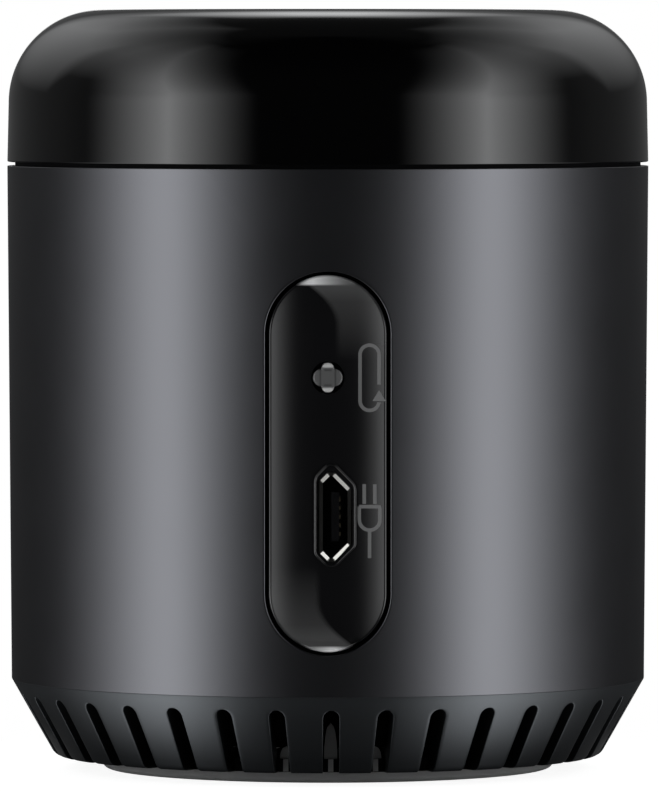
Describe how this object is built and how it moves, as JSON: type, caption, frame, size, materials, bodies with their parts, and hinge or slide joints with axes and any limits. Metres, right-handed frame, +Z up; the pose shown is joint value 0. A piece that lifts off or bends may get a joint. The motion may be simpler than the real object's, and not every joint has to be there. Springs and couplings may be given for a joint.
{
  "type": "smart ir blaster",
  "caption": "Small round desktop infrared remote blaster: metal sleeve, domed dark cap, slotted cone base and a dished rear panel with reset button and upright power socket.",
  "frame": {"origin": "centre of the foot disc's underside, on the body's axis", "axes": "+Z up along the body's axis; -Y points out of the port panel, with the reset button above the power socket; +X to the right as one looks at the panel"},
  "size_m": [0.05, 0.05, 0.0591],
  "materials": {
    "foot_rubber": "matt",
    "plate_plastic": "matt",
    "base_plastic": "satin",
    "sleeve_metal": "satin",
    "chassis_plastic": "matt",
    "panel_gloss": "glossy",
    "button_plastic": "satin",
    "cap_gloss": "glossy",
    "tray_plastic": "matt",
    "dark_plastic": "matt",
    "switch_plastic": "matt",
    "tin_sheet": "satin",
    "gold_contact": "satin",
    "screw_steel": "satin",
    "green_board": "satin",
    "module_board": "satin",
    "can_aluminium": "satin",
    "coil_ferrite": "matt",
    "chip_resin": "matt",
    "tin_pin": "satin",
    "tan_ceramic": "matt",
    "black_ceramic": "matt",
    "lamp_resin": "glossy",
    "receiver_resin": "glossy",
    "white_lamp": "satin"
  },
  "bodies": {
    "housing": {"foot_pad": "foot_rubber", "base_plate": "plate_plastic", "base_ring": "base_plastic", "body_sleeve": "sleeve_metal", "chassis": "chassis_plastic", "port_panel": "panel_gloss", "top_cap": "cap_gloss", "top_tray": "tray_plastic", "usb_tongue": "dark_plastic", "smoothing_seat": "dark_plastic", "link_body": "dark_plastic", "lamp_holder": "dark_plastic", "switch_body": "switch_plastic", "switch_cover": "tin_sheet", "radio_can": "tin_sheet", "usb_shell": "tin_sheet", "usb_contacts": "gold_contact", "radio_aerial": "gold_contact", "link_pins": "gold_contact", "base_screws": "screw_steel", "tray_screws": "screw_steel", "lamp_board_screws": "screw_steel", "main_board": "green_board", "lamp_board": "green_board", "radio_module": "module_board", "smoothing_can": "can_aluminium", "power_coil": "coil_ferrite", "regulator_chip": "chip_resin", "lamp_drivers": "chip_resin", "regulator_pins": "tin_pin", "driver_pins": "tin_pin", "lamp_wires": "tin_pin", "receiver_wires": "tin_pin", "board_capacitors": "tan_ceramic", "board_resistors": "black_ceramic", "lamp_resistors": "black_ceramic", "ir_lamp_1": "lamp_resin", "ir_lamp_2": "lamp_resin", "ir_lamp_3": "lamp_resin", "ir_lamp_4": "lamp_resin", "ir_lamp_5": "lamp_resin", "ir_lamp_6": "lamp_resin", "ir_lamp_top": "lamp_resin", "ir_receiver": "receiver_resin", "status_lamp": "white_lamp"},
    "reset_key": {"reset_button": "button_plastic", "switch_plunger": "dark_plastic"}
  },
  "joints": [
    {"name": "reset_press", "type": "slide", "parent": "housing", "child": "reset_key", "axis": [0, 1, 0], "range_m": [0, 0.0003], "stiffness_N_per_m": 2000, "springref_m": -0.0005}
  ]
}
